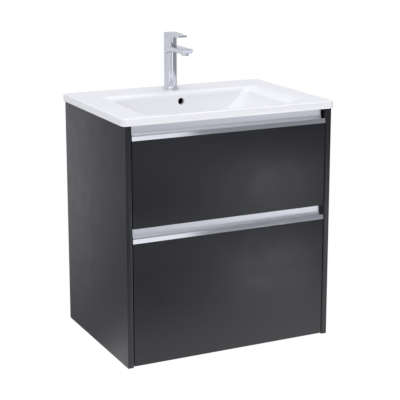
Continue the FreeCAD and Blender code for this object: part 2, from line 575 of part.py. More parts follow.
# ---------------------------------------------------------------- waste and bottle trap
def waste_and_trap():
    seat = f"({BOWL_FLOOR} - flange_height)"
    foot = f"({BOWL_FLOOR} - bowl_wall - duct_wall)"
    tail = f"({seat} - waste_length)"
    body_outline = [
        ("waste_bore", "-waste_length"), ("waste_radius", "-waste_length"),
        ("waste_radius", "seal_height"), ("flange_radius", "seal_height"),
        ("flange_radius", "seal_height + flange_height - 1"), ("waste_bore", "flange_height"),
    ]
    tube = turned("waste_tube", body_outline, ("0", WASTE_Y, seat))
    spider = box("waste_spider",
                 ("-waste_bore - 1", f"{WASTE_Y} - stem_radius * 2", f"{seat} - spider_drop"),
                 ("(waste_bore + 1) * 2", "stem_radius * 4", "spider_height"))
    guide = rod("plug_guide", ("0", WASTE_Y, f"{seat} - spider_drop - 1"), "stem_radius + guide_play",
                "spider_height + 2")
    slots = box("overflow_slots",
                ("-waste_radius - 1", f"{WASTE_Y} - slot_half", f"{foot} + duct_wall / 2"),
                ("(waste_radius + 1) * 2", "slot_half * 2", "duct_wall"))
    body = cut("waste_body", joined("waste_solid", [tube, spider]), [guide, slots])
    upper_seal = ring("waste_upper_seal", ("0", WASTE_Y, seat), "flange_radius",
                      "waste_radius", "seal_height")
    lower_seal = ring("waste_lower_seal", ("0", WASTE_Y, f"{foot} - seal_height"), "nut_radius",
                      "waste_radius", "seal_height")
    nut = ring("waste_nut", ("0", WASTE_Y, f"{foot} - seal_height - nut_height"), "nut_radius",
               "waste_radius", "nut_height")
    plug_outline = [
        ("0", "-plug_stem"), ("stem_radius", "-plug_stem"), ("stem_radius", "0"), ("plug_radius", "0"),
        ("plug_radius", "plug_height / 2"), ("plug_radius / 2", "plug_height"), ("0", "plug_height"),
    ]
    plug = turned("waste_plug", plug_outline,
                  ("0", WASTE_Y, f"{seat} + seal_height + flange_height + plug_play"))
    trap_top = f"({tail} - trap_drop)"
    trap_foot = f"({trap_top} - trap_height)"
    inlet_nut = ring("trap_inlet_nut", ("0", WASTE_Y, f"{tail} - trap_nut_height / 4"), "nut_radius - 3",
                     "waste_radius", "trap_nut_height")
    inlet_length = "trap_drop + trap_height / 2"
    inlet = turned("trap_inlet_pipe", [
        ("pipe_radius - pipe_wall", "0"), ("pipe_radius", "0"),
        ("pipe_radius", f"{inlet_length} - collar_height"),
        ("waste_radius - collar_play", f"{inlet_length} - collar_height"),
        ("waste_radius - collar_play", inlet_length), ("pipe_radius - pipe_wall", inlet_length),
    ], ("0", WASTE_Y, f"{trap_top} - trap_height / 2"))
    vessel = turned("trap_vessel", [
        ("pipe_radius", "trap_height - trap_wall"), ("trap_radius - trap_wall", "trap_height - trap_wall"),
        ("trap_radius - trap_wall", "0"), ("trap_radius", "0"), ("trap_radius", "trap_height"),
        ("pipe_radius", "trap_height"),
    ], ("0", WASTE_Y, trap_foot))
    outlet_z = f"({trap_top} - outlet_drop)"
    spigot = rod("trap_spigot", ("0", f"{WASTE_Y} + trap_radius - trap_wall", outlet_z),
                 "pipe_radius + pipe_wall", "trap_nut_height", "Y")
    port = rod("trap_port", ("0", WASTE_Y, outlet_z), "pipe_radius", "trap_radius + trap_nut_height", "Y")
    core = rod("trap_core", ("0", WASTE_Y, f"{trap_foot} - 1"), "trap_radius - trap_wall",
               "trap_height - trap_wall")
    spigot = cut("trap_spigot_outside", spigot, [core])
    trap_body = cut("trap_body", joined("trap_solid", [vessel, spigot]), [port])
    top_nut = ring("trap_top_nut", ("0", WASTE_Y, trap_top), "pipe_radius + trap_nut_wall", "pipe_radius",
                   "trap_nut_height / 2")
    cup = turned("trap_cup", [
        ("0", "-cup_height"), ("cup_radius - 8", "-cup_height"), ("cup_radius", "-cup_height + 14"),
        ("cup_radius", "trap_wall * 4"), ("trap_radius", "trap_wall * 4"), ("trap_radius", "0"),
        ("trap_radius - trap_wall", "0"), ("trap_radius - trap_wall", "-cup_height + 16"),
        ("cup_radius - 12", "-cup_height + trap_wall"), ("0", "-cup_height + trap_wall"),
    ], ("0", WASTE_Y, trap_foot))
    outlet_start = f"({WASTE_Y} + trap_radius - trap_wall)"
    pipe_outside = rod("outlet_outside", ("0", f"{WASTE_Y} + trap_radius", outlet_z), "pipe_radius",
                       "waste_from_wall - trap_radius", "Y")
    pipe_inside = rod("outlet_inside", ("0", WASTE_Y, outlet_z), "pipe_radius - pipe_wall",
                      "waste_from_wall + 1", "Y")
    bead = rod("outlet_bead", ("0", "-bead_from_wall - bead_width", outlet_z), "pipe_radius + bead_height",
               "bead_width", "Y")
    outlet = cut("trap_outlet_pipe", joined("outlet_solid", [pipe_outside, bead]), [pipe_inside])
    nut_outside = rod("outlet_nut_outside", ("0", f"{outlet_start} + trap_nut_height / 2", outlet_z),
                      "pipe_radius + trap_nut_wall", "trap_nut_height", "Y")
    nut_inside = rod("outlet_nut_inside", ("0", outlet_start, outlet_z), "pipe_radius",
                     "trap_nut_height * 2", "Y")
    nut_recess = rod("outlet_nut_recess", ("0", outlet_start, outlet_z), "pipe_radius + pipe_wall",
                     "trap_nut_height", "Y")
    outlet_nut = cut("trap_outlet_nut", nut_outside, [nut_inside, nut_recess])
    return [body, upper_seal, lower_seal, nut, plug, inlet_nut, inlet, top_nut, trap_body, cup, outlet,
            outlet_nut]


# ---------------------------------------------------------------- tap
def tap():
    """Column with a flat spout; the cartridge in its head turns and tilts the lever."""
    foot = f"({DECK} + base_seal)"
    column = turned("tap_column", [
        ("0", "0"), ("base_radius", "0"), ("base_radius", "base_height"),
        ("column_radius", "base_height + 1"), ("column_radius", "column_height"),
        ("cartridge_radius", "column_height"),
        ("cartridge_radius", "column_height - cartridge_height"), ("0", "column_height - cartridge_height"),
    ], ("0", TAP_Y, foot))
    side_view = extruded("spout_side", "YZ_Plane", [[
        ("0", "column_height"), ("0", "column_height - spout_root"),
        ("-column_radius", "column_height - spout_root"),
        ("-spout_reach + spout_slant", "column_height + spout_rise - spout_tip"),
        ("-spout_reach", "column_height + spout_rise"),
        ("-column_radius - 6", "column_height + spout_rise"),
        ("-column_radius - 2", "column_height"),
    ]], "spout_root_width * 2", ("0", TAP_Y, foot), midplane=True)
    top_view = extruded("spout_top", "XY_Plane", [[
        ("-spout_root_width / 2", "0"), ("-spout_tip_width / 2", "-spout_reach"),
        ("spout_tip_width / 2", "-spout_reach"), ("spout_root_width / 2", "0"),
    ]], "column_height * 2", ("0", TAP_Y, foot))
    cartridge_seat = rod("cartridge_seat", ("0", TAP_Y, f"{foot} + column_height - cartridge_height"),
                         "cartridge_radius", "cartridge_height * 2")
    aerator_at = ("0", f"{TAP_Y} - spout_reach + aerator_inset", f"{foot} + column_height - spout_tip - 8")
    aerator_seat = rod("aerator_seat", aerator_at, "aerator_radius", "spout_tip + 5")
    shank_seat = rod("shank_seat", ("0", TAP_Y, f"{foot} - 1"), "shank_radius", "shank_grip + 1")
    inlets = [rod(f"inlet_{count}", (f"inlet_offset * {side}", TAP_Y, f"{foot}"), "inlet_radius",
                  "shank_grip + inlet_depth") for count, side in enumerate((-1, 1))]
    spout = common("tap_spout", side_view, top_view)
    body = cut("tap_body", joined("tap_solid", [column, spout]),
               [cartridge_seat, aerator_seat, shank_seat] + inlets)
    aerator = ring("tap_aerator", (aerator_at[0], aerator_at[1], f"{aerator_at[2]} + aerator_lift"),
                   "aerator_radius", "aerator_radius - aerator_wall", "spout_tip")
    base_seal = ring("tap_base_seal", ("0", TAP_Y, DECK), "base_radius - 1", "shank_radius", "base_seal")
    shank = ring("tap_shank", ("0", TAP_Y, f"{foot} - shank_length"), "shank_radius", "shank_bore",
                 "shank_length + shank_grip")
    washer = ring("tap_clamp_washer", ("0", TAP_Y, "cabinet_height - washer_height"), "ring_radius",
                  "shank_radius", "washer_height")
    ring_nut = ring("tap_ring_nut", ("0", TAP_Y, "cabinet_height - washer_height - ring_height"),
                    "ring_radius - 2", "shank_radius", "ring_height")
    pivot = f"({foot} + pivot_height)"
    carrier_foot = f"({pivot} - carrier_height / 2 - carrier_lift)"
    cartridge_foot = f"{foot} + column_height - cartridge_height"
    cartridge = turned("tap_cartridge", [
        ("0", "0"), ("cartridge_radius", "0"), ("cartridge_radius", "cartridge_height - cartridge_neck"),
        ("carrier_radius + carrier_play", "cartridge_height - cartridge_neck"),
        ("carrier_radius + carrier_play", "cartridge_height - cartridge_neck - carrier_pocket"),
        ("0", "cartridge_height - cartridge_neck - carrier_pocket"),
    ], ("0", TAP_Y, cartridge_foot))
    retainer = ring("cartridge_nut", ("0", TAP_Y, f"{foot} + column_height - cartridge_neck"),
                    "cartridge_radius", "carrier_radius + 1", "cartridge_neck - 1")
    carrier_round = rod("carrier_round", ("0", TAP_Y, carrier_foot), "carrier_radius", "carrier_height")
    carrier_slot = box("carrier_slot",
                       ("-stem_half - carrier_play", f"{TAP_Y} - pin_half - 1", f"{carrier_foot} - 1"),
                       ("(stem_half + carrier_play) * 2", "(pin_half + 1) * 2", "carrier_height + 2"))
    carrier_bore = rod("carrier_bore", ("-pin_half - 1", TAP_Y, pivot), "pin_radius + pin_play",
                       "(pin_half + 1) * 2", "X")
    carrier = cut("lever_carrier", carrier_round, [carrier_slot, carrier_bore])
    stem_bar = box("stem_bar", ("-stem_half", f"{TAP_Y} - stem_half", f"{pivot} - stem_foot"),
                   ("stem_half * 2", "stem_half * 2", "stem_foot + stem_top"))
    stem_pin = rod("stem_pin", ("-pin_half", TAP_Y, pivot), "pin_radius", "pin_half * 2", "X")
    stem = joined("lever_stem", [stem_bar, stem_pin])
    hood_foot = f"({foot} + column_height + lever_play)"
    hood = rod("hood_round", ("0", TAP_Y, hood_foot), "column_radius", "hood_height")
    paddle_side = extruded("paddle_side", "YZ_Plane", [[
        ("column_radius", "hood_height - paddle_root"), ("-column_radius + 4", "hood_height - paddle_root"),
        ("-paddle_reach", "hood_height - paddle_fall - paddle_tip"),
        ("-paddle_reach", "hood_height - paddle_fall"), ("0", "hood_height + 1.5"),
        ("column_radius", "hood_height"),
    ]], "column_radius * 4", ("0", TAP_Y, hood_foot), midplane=True)
    paddle_top = extruded("paddle_top", "XY_Plane", [[
        ("-column_radius", "0", "column_radius", -1), ("0", "column_radius", "column_radius", -1),
        ("column_radius", "0"),
        ("paddle_tip_width / 2", "-paddle_reach"), ("-paddle_tip_width / 2", "-paddle_reach"),
    ]], "hood_height * 2", ("0", TAP_Y, hood_foot))
    inside = rod("hood_inside", ("0", TAP_Y, f"{hood_foot} - 1"), "column_radius - hood_wall",
                 "hood_height - paddle_root + 1")
    wedge = extruded("hood_wedge", "YZ_Plane", [[
        ("0", "-1"), ("column_radius + 2", "-1"), ("column_radius + 2", "lever_wedge"), ("0", "0")]],
        "column_radius * 4", ("0", TAP_Y, hood_foot), midplane=True)
    socket = box("stem_socket", ("-stem_half", f"{TAP_Y} - stem_half", hood_foot),
                 ("stem_half * 2", "stem_half * 2", f"{pivot} + stem_top - {hood_foot}"))
    paddle = common("tap_paddle", paddle_side, paddle_top)
    lever = cut("tap_lever", joined("lever_solid", [hood, paddle]), [inside, wedge, socket])
    return [body, aerator, base_seal, shank, washer, ring_nut, cartridge, retainer, carrier, stem, lever]


pieces = boards + [
    left_side_panel, right_side_panel, cam_housings, cam_bolts, wooden_dowels,
    left_wall_plate, right_wall_plate, left_hanger, right_hanger, hanger_adjusters,
] + upper_drawer() + lower_drawer() + [basin()] + waste_and_trap() + tap()

# ---------------------------------------------------------------- check and write
doc.recompute()
faults = [item.Name for item in doc.Objects if {"Invalid", "Error"} & set(item.State)]
faults += [piece.Label for piece in pieces if piece.Shape.isNull() or not piece.Shape.isValid()]
if faults:
    raise RuntimeError("failed objects: " + ", ".join(faults))
os.makedirs("parts", exist_ok=True)
for piece in pieces:
    piece.Shape.exportStep(f"parts/{piece.Label}.step")
    print(f"{piece.Label:28s} {len(piece.Shape.Solids):3d} solids {piece.Shape.Volume / 1000:10.2f} cm3")
print(len(pieces), "nodes")
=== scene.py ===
"""Wall-hung bathroom vanity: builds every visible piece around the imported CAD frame.

Everything is in metres in the frame's own axes: +Z up, the front towards -Y, the wall at y = 0.
"""
import json
import math

import bmesh
import bpy
import numpy as np
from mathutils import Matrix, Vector


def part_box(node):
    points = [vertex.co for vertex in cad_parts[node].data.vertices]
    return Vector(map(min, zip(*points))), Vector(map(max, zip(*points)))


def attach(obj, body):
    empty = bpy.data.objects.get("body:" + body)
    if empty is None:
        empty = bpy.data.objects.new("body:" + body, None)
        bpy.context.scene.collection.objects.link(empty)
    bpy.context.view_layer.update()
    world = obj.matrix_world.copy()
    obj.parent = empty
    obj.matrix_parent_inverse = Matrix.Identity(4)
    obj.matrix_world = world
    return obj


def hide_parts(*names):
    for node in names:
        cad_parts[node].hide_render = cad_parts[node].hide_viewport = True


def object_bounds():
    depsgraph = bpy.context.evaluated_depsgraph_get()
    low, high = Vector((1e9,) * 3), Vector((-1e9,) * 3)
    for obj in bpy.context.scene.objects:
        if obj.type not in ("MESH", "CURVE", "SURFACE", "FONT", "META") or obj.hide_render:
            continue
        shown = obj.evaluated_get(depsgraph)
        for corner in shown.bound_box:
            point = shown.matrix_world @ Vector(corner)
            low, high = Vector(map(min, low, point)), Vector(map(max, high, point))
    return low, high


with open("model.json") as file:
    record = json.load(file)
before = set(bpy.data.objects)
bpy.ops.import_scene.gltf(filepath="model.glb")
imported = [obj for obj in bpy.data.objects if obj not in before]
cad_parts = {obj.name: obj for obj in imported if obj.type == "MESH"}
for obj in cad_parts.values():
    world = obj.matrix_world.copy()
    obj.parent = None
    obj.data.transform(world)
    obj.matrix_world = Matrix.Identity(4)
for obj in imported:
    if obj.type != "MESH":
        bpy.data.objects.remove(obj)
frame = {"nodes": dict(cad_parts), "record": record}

bl_info = {
    "name": "Bathroom vanity",
    "version": (1, 0, 0),
    "blender": (4, 5, 0),
    "location": "3D View > Sidebar > Vanity",
    "description": "Builds a wall-hung vanity with two drawers, a ceramic basin and a mixer tap",
    "category": "Add Mesh",
}

MM = 0.001
DAYLIGHT = (0.98, 0.988, 1.035)  # the room's faint blue
CAD_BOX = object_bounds()


# ------------------------------------------------------------------ settings
class CabinetSettings(bpy.types.PropertyGroup):
    """Boards, grip profiles and fittings."""

    lacquer: bpy.props.StringProperty(
        name="Lacquer", description="Colour of the satin lacquer, as sRGB hex", default="#121319")
    arris: bpy.props.FloatProperty(
        name="Arris", description="Radius of a board's edges", default=0.0009, subtype="DISTANCE")
    lip_wall: bpy.props.FloatProperty(
        name="Lip wall", description="Thickness of the grip's lip", default=0.002, subtype="DISTANCE")
    profile_wall: bpy.props.FloatProperty(
        name="Profile wall", description="Thickness of the extrusion", default=0.0016, subtype="DISTANCE")
    lip_height: bpy.props.FloatProperty(
        name="Lip height", description="Height of the polished lip", default=0.0124, subtype="DISTANCE")
    lip_foot_lean: bpy.props.FloatProperty(
        name="Lip foot lean", description="Degrees that the lip's face leans back at its foot", default=5)
    lip_lean: bpy.props.FloatProperty(
        name="Lip lean", description="Degrees that the lip's crowned face leans back at its top", default=8)
    end_notch: bpy.props.FloatProperty(
        name="End notch", description="How far the trough stops short of the lip's ends", default=0.005,
        subtype="DISTANCE")
    trough_drop: bpy.props.FloatProperty(
        name="Trough drop", description="How far the trough lies below the lip's top", default=0.006,
        subtype="DISTANCE")


class BasinSettings(bpy.types.PropertyGroup):
    """The ceramic basin's outlines."""

    glaze: bpy.props.StringProperty(
        name="Glaze", description="Colour of the glaze, as sRGB hex", default="#EBEBED")
    edge: bpy.props.FloatProperty(
        name="Edge", description="Height of the slim edge", default=0.020, subtype="DISTANCE")
    corner: bpy.props.FloatProperty(
        name="Corner", description="Radius of the outer corners", default=0.014, subtype="DISTANCE")
    rim_side: bpy.props.FloatProperty(
        name="Side rim", description="Width of the deck beside the bowl", default=0.093, subtype="DISTANCE")
    rim_front: bpy.props.FloatProperty(
        name="Front rim", description="Width of the deck before the bowl", default=0.0395, subtype="DISTANCE")
    rim_back: bpy.props.FloatProperty(
        name="Back deck", description="Depth of the deck behind the bowl", default=0.120, subtype="DISTANCE")
    back_corner: bpy.props.FloatProperty(
        name="Back corner", description="Radius of the bowl's back corners", default=0.016,
        subtype="DISTANCE")
    roll: bpy.props.FloatProperty(
        name="Roll", description="Width of the soft roll into the bowl", default=0.024, subtype="DISTANCE")
    bowl_depth: bpy.props.FloatProperty(
        name="Bowl depth", description="Deck to bowl floor", default=0.126, subtype="DISTANCE")
    wall: bpy.props.FloatProperty(
        name="Wall", description="Thickness of the bowl's wall", default=0.009, subtype="DISTANCE")
    overflow_radius: bpy.props.FloatProperty(
        name="Overflow radius", description="Radius of the overflow hole", default=0.0096, subtype="DISTANCE")
    overflow_drop: bpy.props.FloatProperty(
        name="Overflow drop", description="Deck to the overflow's middle", default=0.027, subtype="DISTANCE")


class TapSettings(bpy.types.PropertyGroup):
    """The mixer tap."""

    chrome: bpy.props.StringProperty(
        name="Chrome", description="Colour of the chrome plate, as sRGB hex", default="#D8DAE1")
    column_radius: bpy.props.FloatProperty(
        name="Column radius", description="Radius of the column and the hood", default=0.0185,
        subtype="DISTANCE")
    spout_reach: bpy.props.FloatProperty(
        name="Spout reach", description="Column's axis to the spout's tip", default=0.120, subtype="DISTANCE")
    paddle_reach: bpy.props.FloatProperty(
        name="Paddle reach", description="Column's axis to the paddle's tip", default=0.078,
        subtype="DISTANCE")


class StudioSettings(bpy.types.PropertyGroup):
    """Camera, lights and floor."""

    azimuth: bpy.props.FloatProperty(
        name="Azimuth", description="Camera's bearing left of the front, in degrees", default=26.04)
    elevation: bpy.props.FloatProperty(
        name="Elevation", description="Camera's height angle, in degrees", default=12.55)
    distance: bpy.props.FloatProperty(
        name="Distance", description="Camera to the object's middle", default=3.392, subtype="DISTANCE")
    aim_right: bpy.props.FloatProperty(
        name="Aim right", description="Aim to the right of the middle", default=0.0106, subtype="DISTANCE")
    aim_up: bpy.props.FloatProperty(
        name="Aim up", description="Aim above the middle", default=0.0710, subtype="DISTANCE")
    lens: bpy.props.FloatProperty(
        name="Lens", description="Focal length in millimetres", default=109.8)
    shift: bpy.props.FloatProperty(
        name="Shift", description="Vertical lens shift, as a share of the frame", default=-0.1)
    floor_drop: bpy.props.FloatProperty(
        name="Floor drop", description="Cabinet's underside to the floor", default=0.5, subtype="DISTANCE")


SETTINGS = {
    "vanity_cabinet": CabinetSettings, "vanity_basin": BasinSettings,
    "vanity_tap": TapSettings, "vanity_studio": StudioSettings,
}


# ------------------------------------------------------------------ materials
def linear(hex_colour):
    """sRGB hex to linear RGBA."""
    channels = [int(hex_colour[i:i + 2], 16) / 255 for i in (1, 3, 5)]
    return [c / 12.92 if c <= 0.04045 else ((c + 0.055) / 1.055) ** 2.4 for c in channels] + [1.0]


def add_node(tree, kind, settings=None, links=None):
    """Add a node; settings name its attributes or input sockets, links give sockets to join."""
    node = tree.nodes.new(kind)
    for name, value in (settings or {}).items():
        if name in node.inputs:
            node.inputs[name].default_value = value
        else:
            setattr(node, name, value)
    for name, source in (links or {}).items():
        tree.links.new(source, node.inputs[name])
    return node


def surface(name, settings, size_mm=None, roughness=None, bump_mm=0.0, bump_size_mm=None, stretch=(1, 1, 1)):
    """A Principled material whose roughness drifts over size_mm and whose relief is bump_mm deep."""
    material = bpy.data.materials.get(name)
    if material:
        return material
    material = bpy.data.materials.new(name)
    material.use_nodes = True
    tree = material.node_tree
    shader = tree.nodes["Principled BSDF"]
    for socket, value in settings.items():
        shader.inputs[socket].default_value = value
    place = add_node(tree, "ShaderNodeTexCoord").outputs["Object"]
    place = add_node(tree, "ShaderNodeMapping", {"Scale": stretch}, {"Vector": place}).outputs["Vector"]
    if roughness:
        drift = add_node(tree, "ShaderNodeTexNoise", {"Scale": 1 / (size_mm * MM), "Detail": 3.0},
                         {"Vector": place})
        spread = add_node(tree, "ShaderNodeMapRange", {
            "From Min": 0.3, "From Max": 0.7, "To Min": roughness[0], "To Max": roughness[1]},
            {"Value": drift.outputs["Fac"]})
        tree.links.new(spread.outputs["Result"], shader.inputs["Roughness"])
    if bump_mm:
        relief = add_node(tree, "ShaderNodeTexNoise", {"Scale": 1 / (bump_size_mm * MM), "Detail": 2.0},
                          {"Vector": place})
        bump = add_node(tree, "ShaderNodeBump", {"Strength": 1.0, "Distance": bump_mm * MM},
                        {"Height": relief.outputs["Fac"]})
        tree.links.new(bump.outputs["Normal"], shader.inputs["Normal"])
    return material


def satin_lacquer():
    """Sprayed satin lacquer on board: a dark body under a soft, broad sheen with faint orange peel."""
    # less specular than plain lacquer, because a matting powder breaks up part of the reflection
    return surface("Satin lacquer", {
        "Base Color": linear(bpy.context.scene.vanity_cabinet.lacquer), "IOR": 1.5,
        "Specular IOR Level": 0.38,
    }, size_mm=60, roughness=(0.36, 0.42), bump_mm=0.02, bump_size_mm=2.2)


def satin_anodised():
    """Satin anodised aluminium: bright grey metal whose fine drawn lines run along the extrusion."""
    # the real lines are finer than 0.1 mm; they are drawn at 0.8 mm so that they show
    return surface("Satin anodised aluminium", {
        "Base Color": linear("#CACCD3"), "Metallic": 1.0,
    }, size_mm=1.2, roughness=(0.44, 0.5), bump_mm=0.004, bump_size_mm=0.8, stretch=(0.02, 1, 1))


def polished_aluminium():
    """Polished and anodised aluminium: the lip mirrors its surroundings with little blur."""
    return surface("Polished aluminium", {
        "Base Color": linear("#D8DAE0"), "Metallic": 1.0,
    }, size_mm=8, roughness=(0.08, 0.12), bump_mm=0.002, bump_size_mm=3.0, stretch=(0.05, 1, 1))


def glazed_ceramic():
    """Vitreous china under a clear white glaze: bright and even, with small sharp reflections."""
    return surface("Glazed china", {
        "Base Color": linear(bpy.context.scene.vanity_basin.glaze), "IOR": 1.52,
        "Coat Weight": 0.1, "Coat Roughness": 0.04,
    }, size_mm=90, roughness=(0.14, 0.22), bump_mm=0.02, bump_size_mm=28)


def chrome_plate():
    """Polished chrome on brass: a neutral mirror, drawn by what is dark and bright around it."""
    return surface("Chrome plate", {
        "Base Color": linear(bpy.context.scene.vanity_tap.chrome), "Metallic": 1.0,
    }, size_mm=20, roughness=(0.03, 0.06), bump_mm=0.001, bump_size_mm=6)


def galvanised_steel():
    """Zinc-plated sheet steel: cool grey with a fine spangle."""
    return surface("Zinc-plated steel", {"Base Color": linear("#A9ADB2"), "Metallic": 1.0},
                   size_mm=6, roughness=(0.28, 0.5), bump_mm=0.01, bump_size_mm=2.5)


def zinc_casting():
    """Die-cast zinc: duller and greyer than sheet steel."""
    return surface("Die-cast zinc", {"Base Color": linear("#8C8F93"), "Metallic": 1.0},
                   size_mm=3, roughness=(0.45, 0.6), bump_mm=0.03, bump_size_mm=1.0)


def carcass_melamine():
    """Melamine-faced board of the hidden carcass: the lacquer's colour with a fine pressed grain."""
    return surface("Carcass melamine", {"Base Color": linear("#2C2D31"), "IOR": 1.5},
                   size_mm=25, roughness=(0.5, 0.62), bump_mm=0.05, bump_size_mm=1.2, stretch=(0.15, 1, 1))


def drawer_melamine():
    """Light grey melamine of the drawer boxes, with a fine linen press."""
    return surface("Drawer melamine", {"Base Color": linear("#9FA0A3"), "IOR": 1.5},
                   size_mm=12, roughness=(0.45, 0.58), bump_mm=0.04, bump_size_mm=0.9, stretch=(1, 0.2, 1))


def beech():
    """Turned beech dowels: pale wood with short dark flecks along the grain."""
    return surface("Beech", {"Base Color": linear("#C9A878"), "IOR": 1.5},
                   size_mm=4, roughness=(0.55, 0.7), bump_mm=0.05, bump_size_mm=0.7, stretch=(0.1, 1, 1))


def black_rubber():
    """Moulded nitrile rubber: matt black."""
    return surface("Nitrile rubber", {"Base Color": linear("#141416"), "IOR": 1.5},
                   size_mm=5, roughness=(0.7, 0.85), bump_mm=0.03, bump_size_mm=0.8)


def white_polypropylene():
    """Moulded polypropylene: milky white with a soft mould texture."""
    return surface("White polypropylene", {
        "Base Color": linear("#E6E6E3"), "IOR": 1.49, "Subsurface Weight": 0.05,
    }, size_mm=10, roughness=(0.32, 0.42), bump_mm=0.02, bump_size_mm=1.4)


def machined_brass():
    """Machined brass: warm yellow metal with fine turning marks."""
    return surface("Machined brass", {"Base Color": linear("#C9A45C"), "Metallic": 1.0},
                   size_mm=2, roughness=(0.22, 0.35), bump_mm=0.01, bump_size_mm=0.5, stretch=(0.1, 0.1, 1))


def grey_acetal():
    """Moulded acetal of the cartridge: smooth mid grey."""
    return surface("Grey acetal", {"Base Color": linear("#A2A6AB"), "IOR": 1.48},
                   size_mm=6, roughness=(0.3, 0.4), bump_mm=0.01, bump_size_mm=1.0)


def overflow_painted_shade():
    """Painted shade inside the overflow duct: a near black colour stands in for the shade where hardly any
    light gets in, so the hole reads as a hole.
    """
    return surface("Painted shade in overflow", {"Base Color": linear("#060607"), "IOR": 1.4},
                   size_mm=5, roughness=(0.8, 0.95), bump_mm=0.05, bump_size_mm=1.0)


SLOT_MATERIALS = {
    "anthracite_board": satin_lacquer, "carcass_board": carcass_melamine, "drawer_board": drawer_melamine,
    "grip_aluminium": satin_anodised, "glazed_basin": glazed_ceramic, "chrome_plate": chrome_plate,
    "galvanised_steel": galvanised_steel, "zinc_casting": zinc_casting, "beech": beech,
    "black_rubber": black_rubber, "white_polypropylene": white_polypropylene,
    "machined_brass": machined_brass, "grey_acetal": grey_acetal, "stem_steel": galvanised_steel,
}


# ------------------------------------------------------------------ mesh helpers
def loose(name, verts, faces):
    """An object from points and faces with its normals outward, not yet a piece of the vanity."""
    mesh = bpy.data.meshes.new(name)
    mesh.from_pydata([tuple(map(float, v)) for v in verts], [], [tuple(map(int, f)) for f in faces])
    shape = bmesh.new()
    shape.from_mesh(mesh)
    bmesh.ops.recalc_face_normals(shape, faces=shape.faces)
    shape.to_mesh(mesh)
    shape.free()
    item = bpy.data.objects.new(name, mesh)
    bpy.context.scene.collection.objects.link(item)
    return item


def piece(name, verts, faces, body, slot, replaces=(), materials=None, smooth_deg=35):
    """A new visible piece from points and faces, riding on a body in a material slot's finish."""
    return dress(loose(name, verts, faces), body, slot, replaces, materials, smooth_deg)


def dress(item, body, slot, replaces=(), materials=None, smooth_deg=35):
    """Shade a piece, give it its materials (the slot's finish unless others are given), hang it on its body
    and hide the CAD nodes it replaces.
    """
    mesh = item.data
    mesh.shade_smooth()
    mesh.set_sharp_from_angle(angle=math.radians(smooth_deg))
    for material in materials or [SLOT_MATERIALS[slot]()]:
        mesh.materials.append(material)
    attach(item, body)
    if replaces:
        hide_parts(*replaces)
    return item


def bridge(rings, closed=False, cap_start=True, cap_end=True):
    """Points and quads of a skin over rings of equal length; closed joins the last to the first."""
    count = len(rings[0])
    verts = [point for loop in rings for point in loop]
    faces = []
    spans = len(rings) if closed else len(rings) - 1
    for row in range(spans):
        a, b = row * count, (row + 1) % len(rings) * count
        faces += [(a + i, a + (i + 1) % count, b + (i + 1) % count, b + i) for i in range(count)]
    if not closed and cap_start:
        faces.append(tuple(reversed(range(count))))
    if not closed and cap_end:
        faces.append(tuple(range((len(rings) - 1) * count, len(rings) * count)))
    return verts, faces


def turned_rings(profile, centre, segments=64):
    """Rings of a turned piece from (radius, height) pairs about a vertical axis."""
    angles = np.linspace(0, 2 * math.pi, segments, endpoint=False)
    return [[(centre[0] + r * math.cos(a), centre[1] + r * math.sin(a), centre[2] + z) for a in angles]
            for r, z in profile]


def softened(profile, radius, steps=4):
    """Replace each inner corner of a 2D profile by a small arc of at most this radius."""
    points = [Vector(p) for p in profile]
    out = [points[0]]
    for before, corner, after in zip(points, points[1:], points[2:]):
        back, ahead = before - corner, after - corner
        reach = min(radius, back.length * 0.45, ahead.length * 0.45)
        start, end = corner + back.normalized() * reach, corner + ahead.normalized() * reach
        for step in range(steps + 1):
            t = step / steps
            out.append(start * (1 - t) ** 2 + corner * 2 * t * (1 - t) + end * t ** 2)
    out.append(points[-1])
    return [tuple(p) for p in out]


def board(name, low, high, arris, body, slot, replaces=()):
    """A board with rounded arrises."""
    shape = bmesh.new()
    bmesh.ops.create_cube(shape, size=1)
    low, high = Vector(low), Vector(high)
    for vert in shape.verts:
        vert.co = Vector(low[i] + (vert.co[i] + 0.5) * (high[i] - low[i]) for i in range(3))
    bmesh.ops.bevel(shape, geom=shape.edges[:], offset=arris, segments=3, profile=0.5, affect="EDGES")
    mesh = bpy.data.meshes.new(name)
    shape.to_mesh(mesh)
    shape.free()
    item = bpy.data.objects.new(name, mesh)
    bpy.context.scene.collection.objects.link(item)
    return dress(item, body, slot, replaces)


def rounded_ring(low_x, low_y, high_x, high_y, corner, z, per_corner=12, per_side=18, back_corner=None):
    """Points round a rounded rectangle, anticlockwise from the front side's right end."""
    back = corner if back_corner is None else back_corner
    corners = [(high_x - corner, low_y + corner, corner), (high_x - back, high_y - back, back),
               (low_x + back, high_y - back, back), (low_x + corner, low_y + corner, corner)]
    arcs = []
    for index, (x, y, radius) in enumerate(corners):
        angles = [math.radians(90 * (index - 1 + k / per_corner)) for k in range(per_corner + 1)]
        arcs.append([(x + radius * math.cos(a), y + radius * math.sin(a), z) for a in angles])
    loop = []
    for arc, following in zip(arcs, arcs[1:] + arcs[:1]):
        end, begin = Vector(arc[-1]), Vector(following[0])
        loop += arc + [tuple(end.lerp(begin, k / per_side)) for k in range(1, per_side)]
    return loop


def apply_boolean(item, cutter, operation):
    """Apply a boolean of cutter to item and remove the cutter."""
    modifier = item.modifiers.new("cut", "BOOLEAN")
    modifier.object = cutter
    modifier.operation = operation
    modifier.solver = "EXACT"
    graph = bpy.context.evaluated_depsgraph_get()
    mesh = bpy.data.meshes.new_from_object(item.evaluated_get(graph))
    item.modifiers.clear()
    old, name = item.data, item.data.name
    item.data = mesh
    bpy.data.meshes.remove(old)
    mesh.name = name
    bpy.data.objects.remove(cutter)


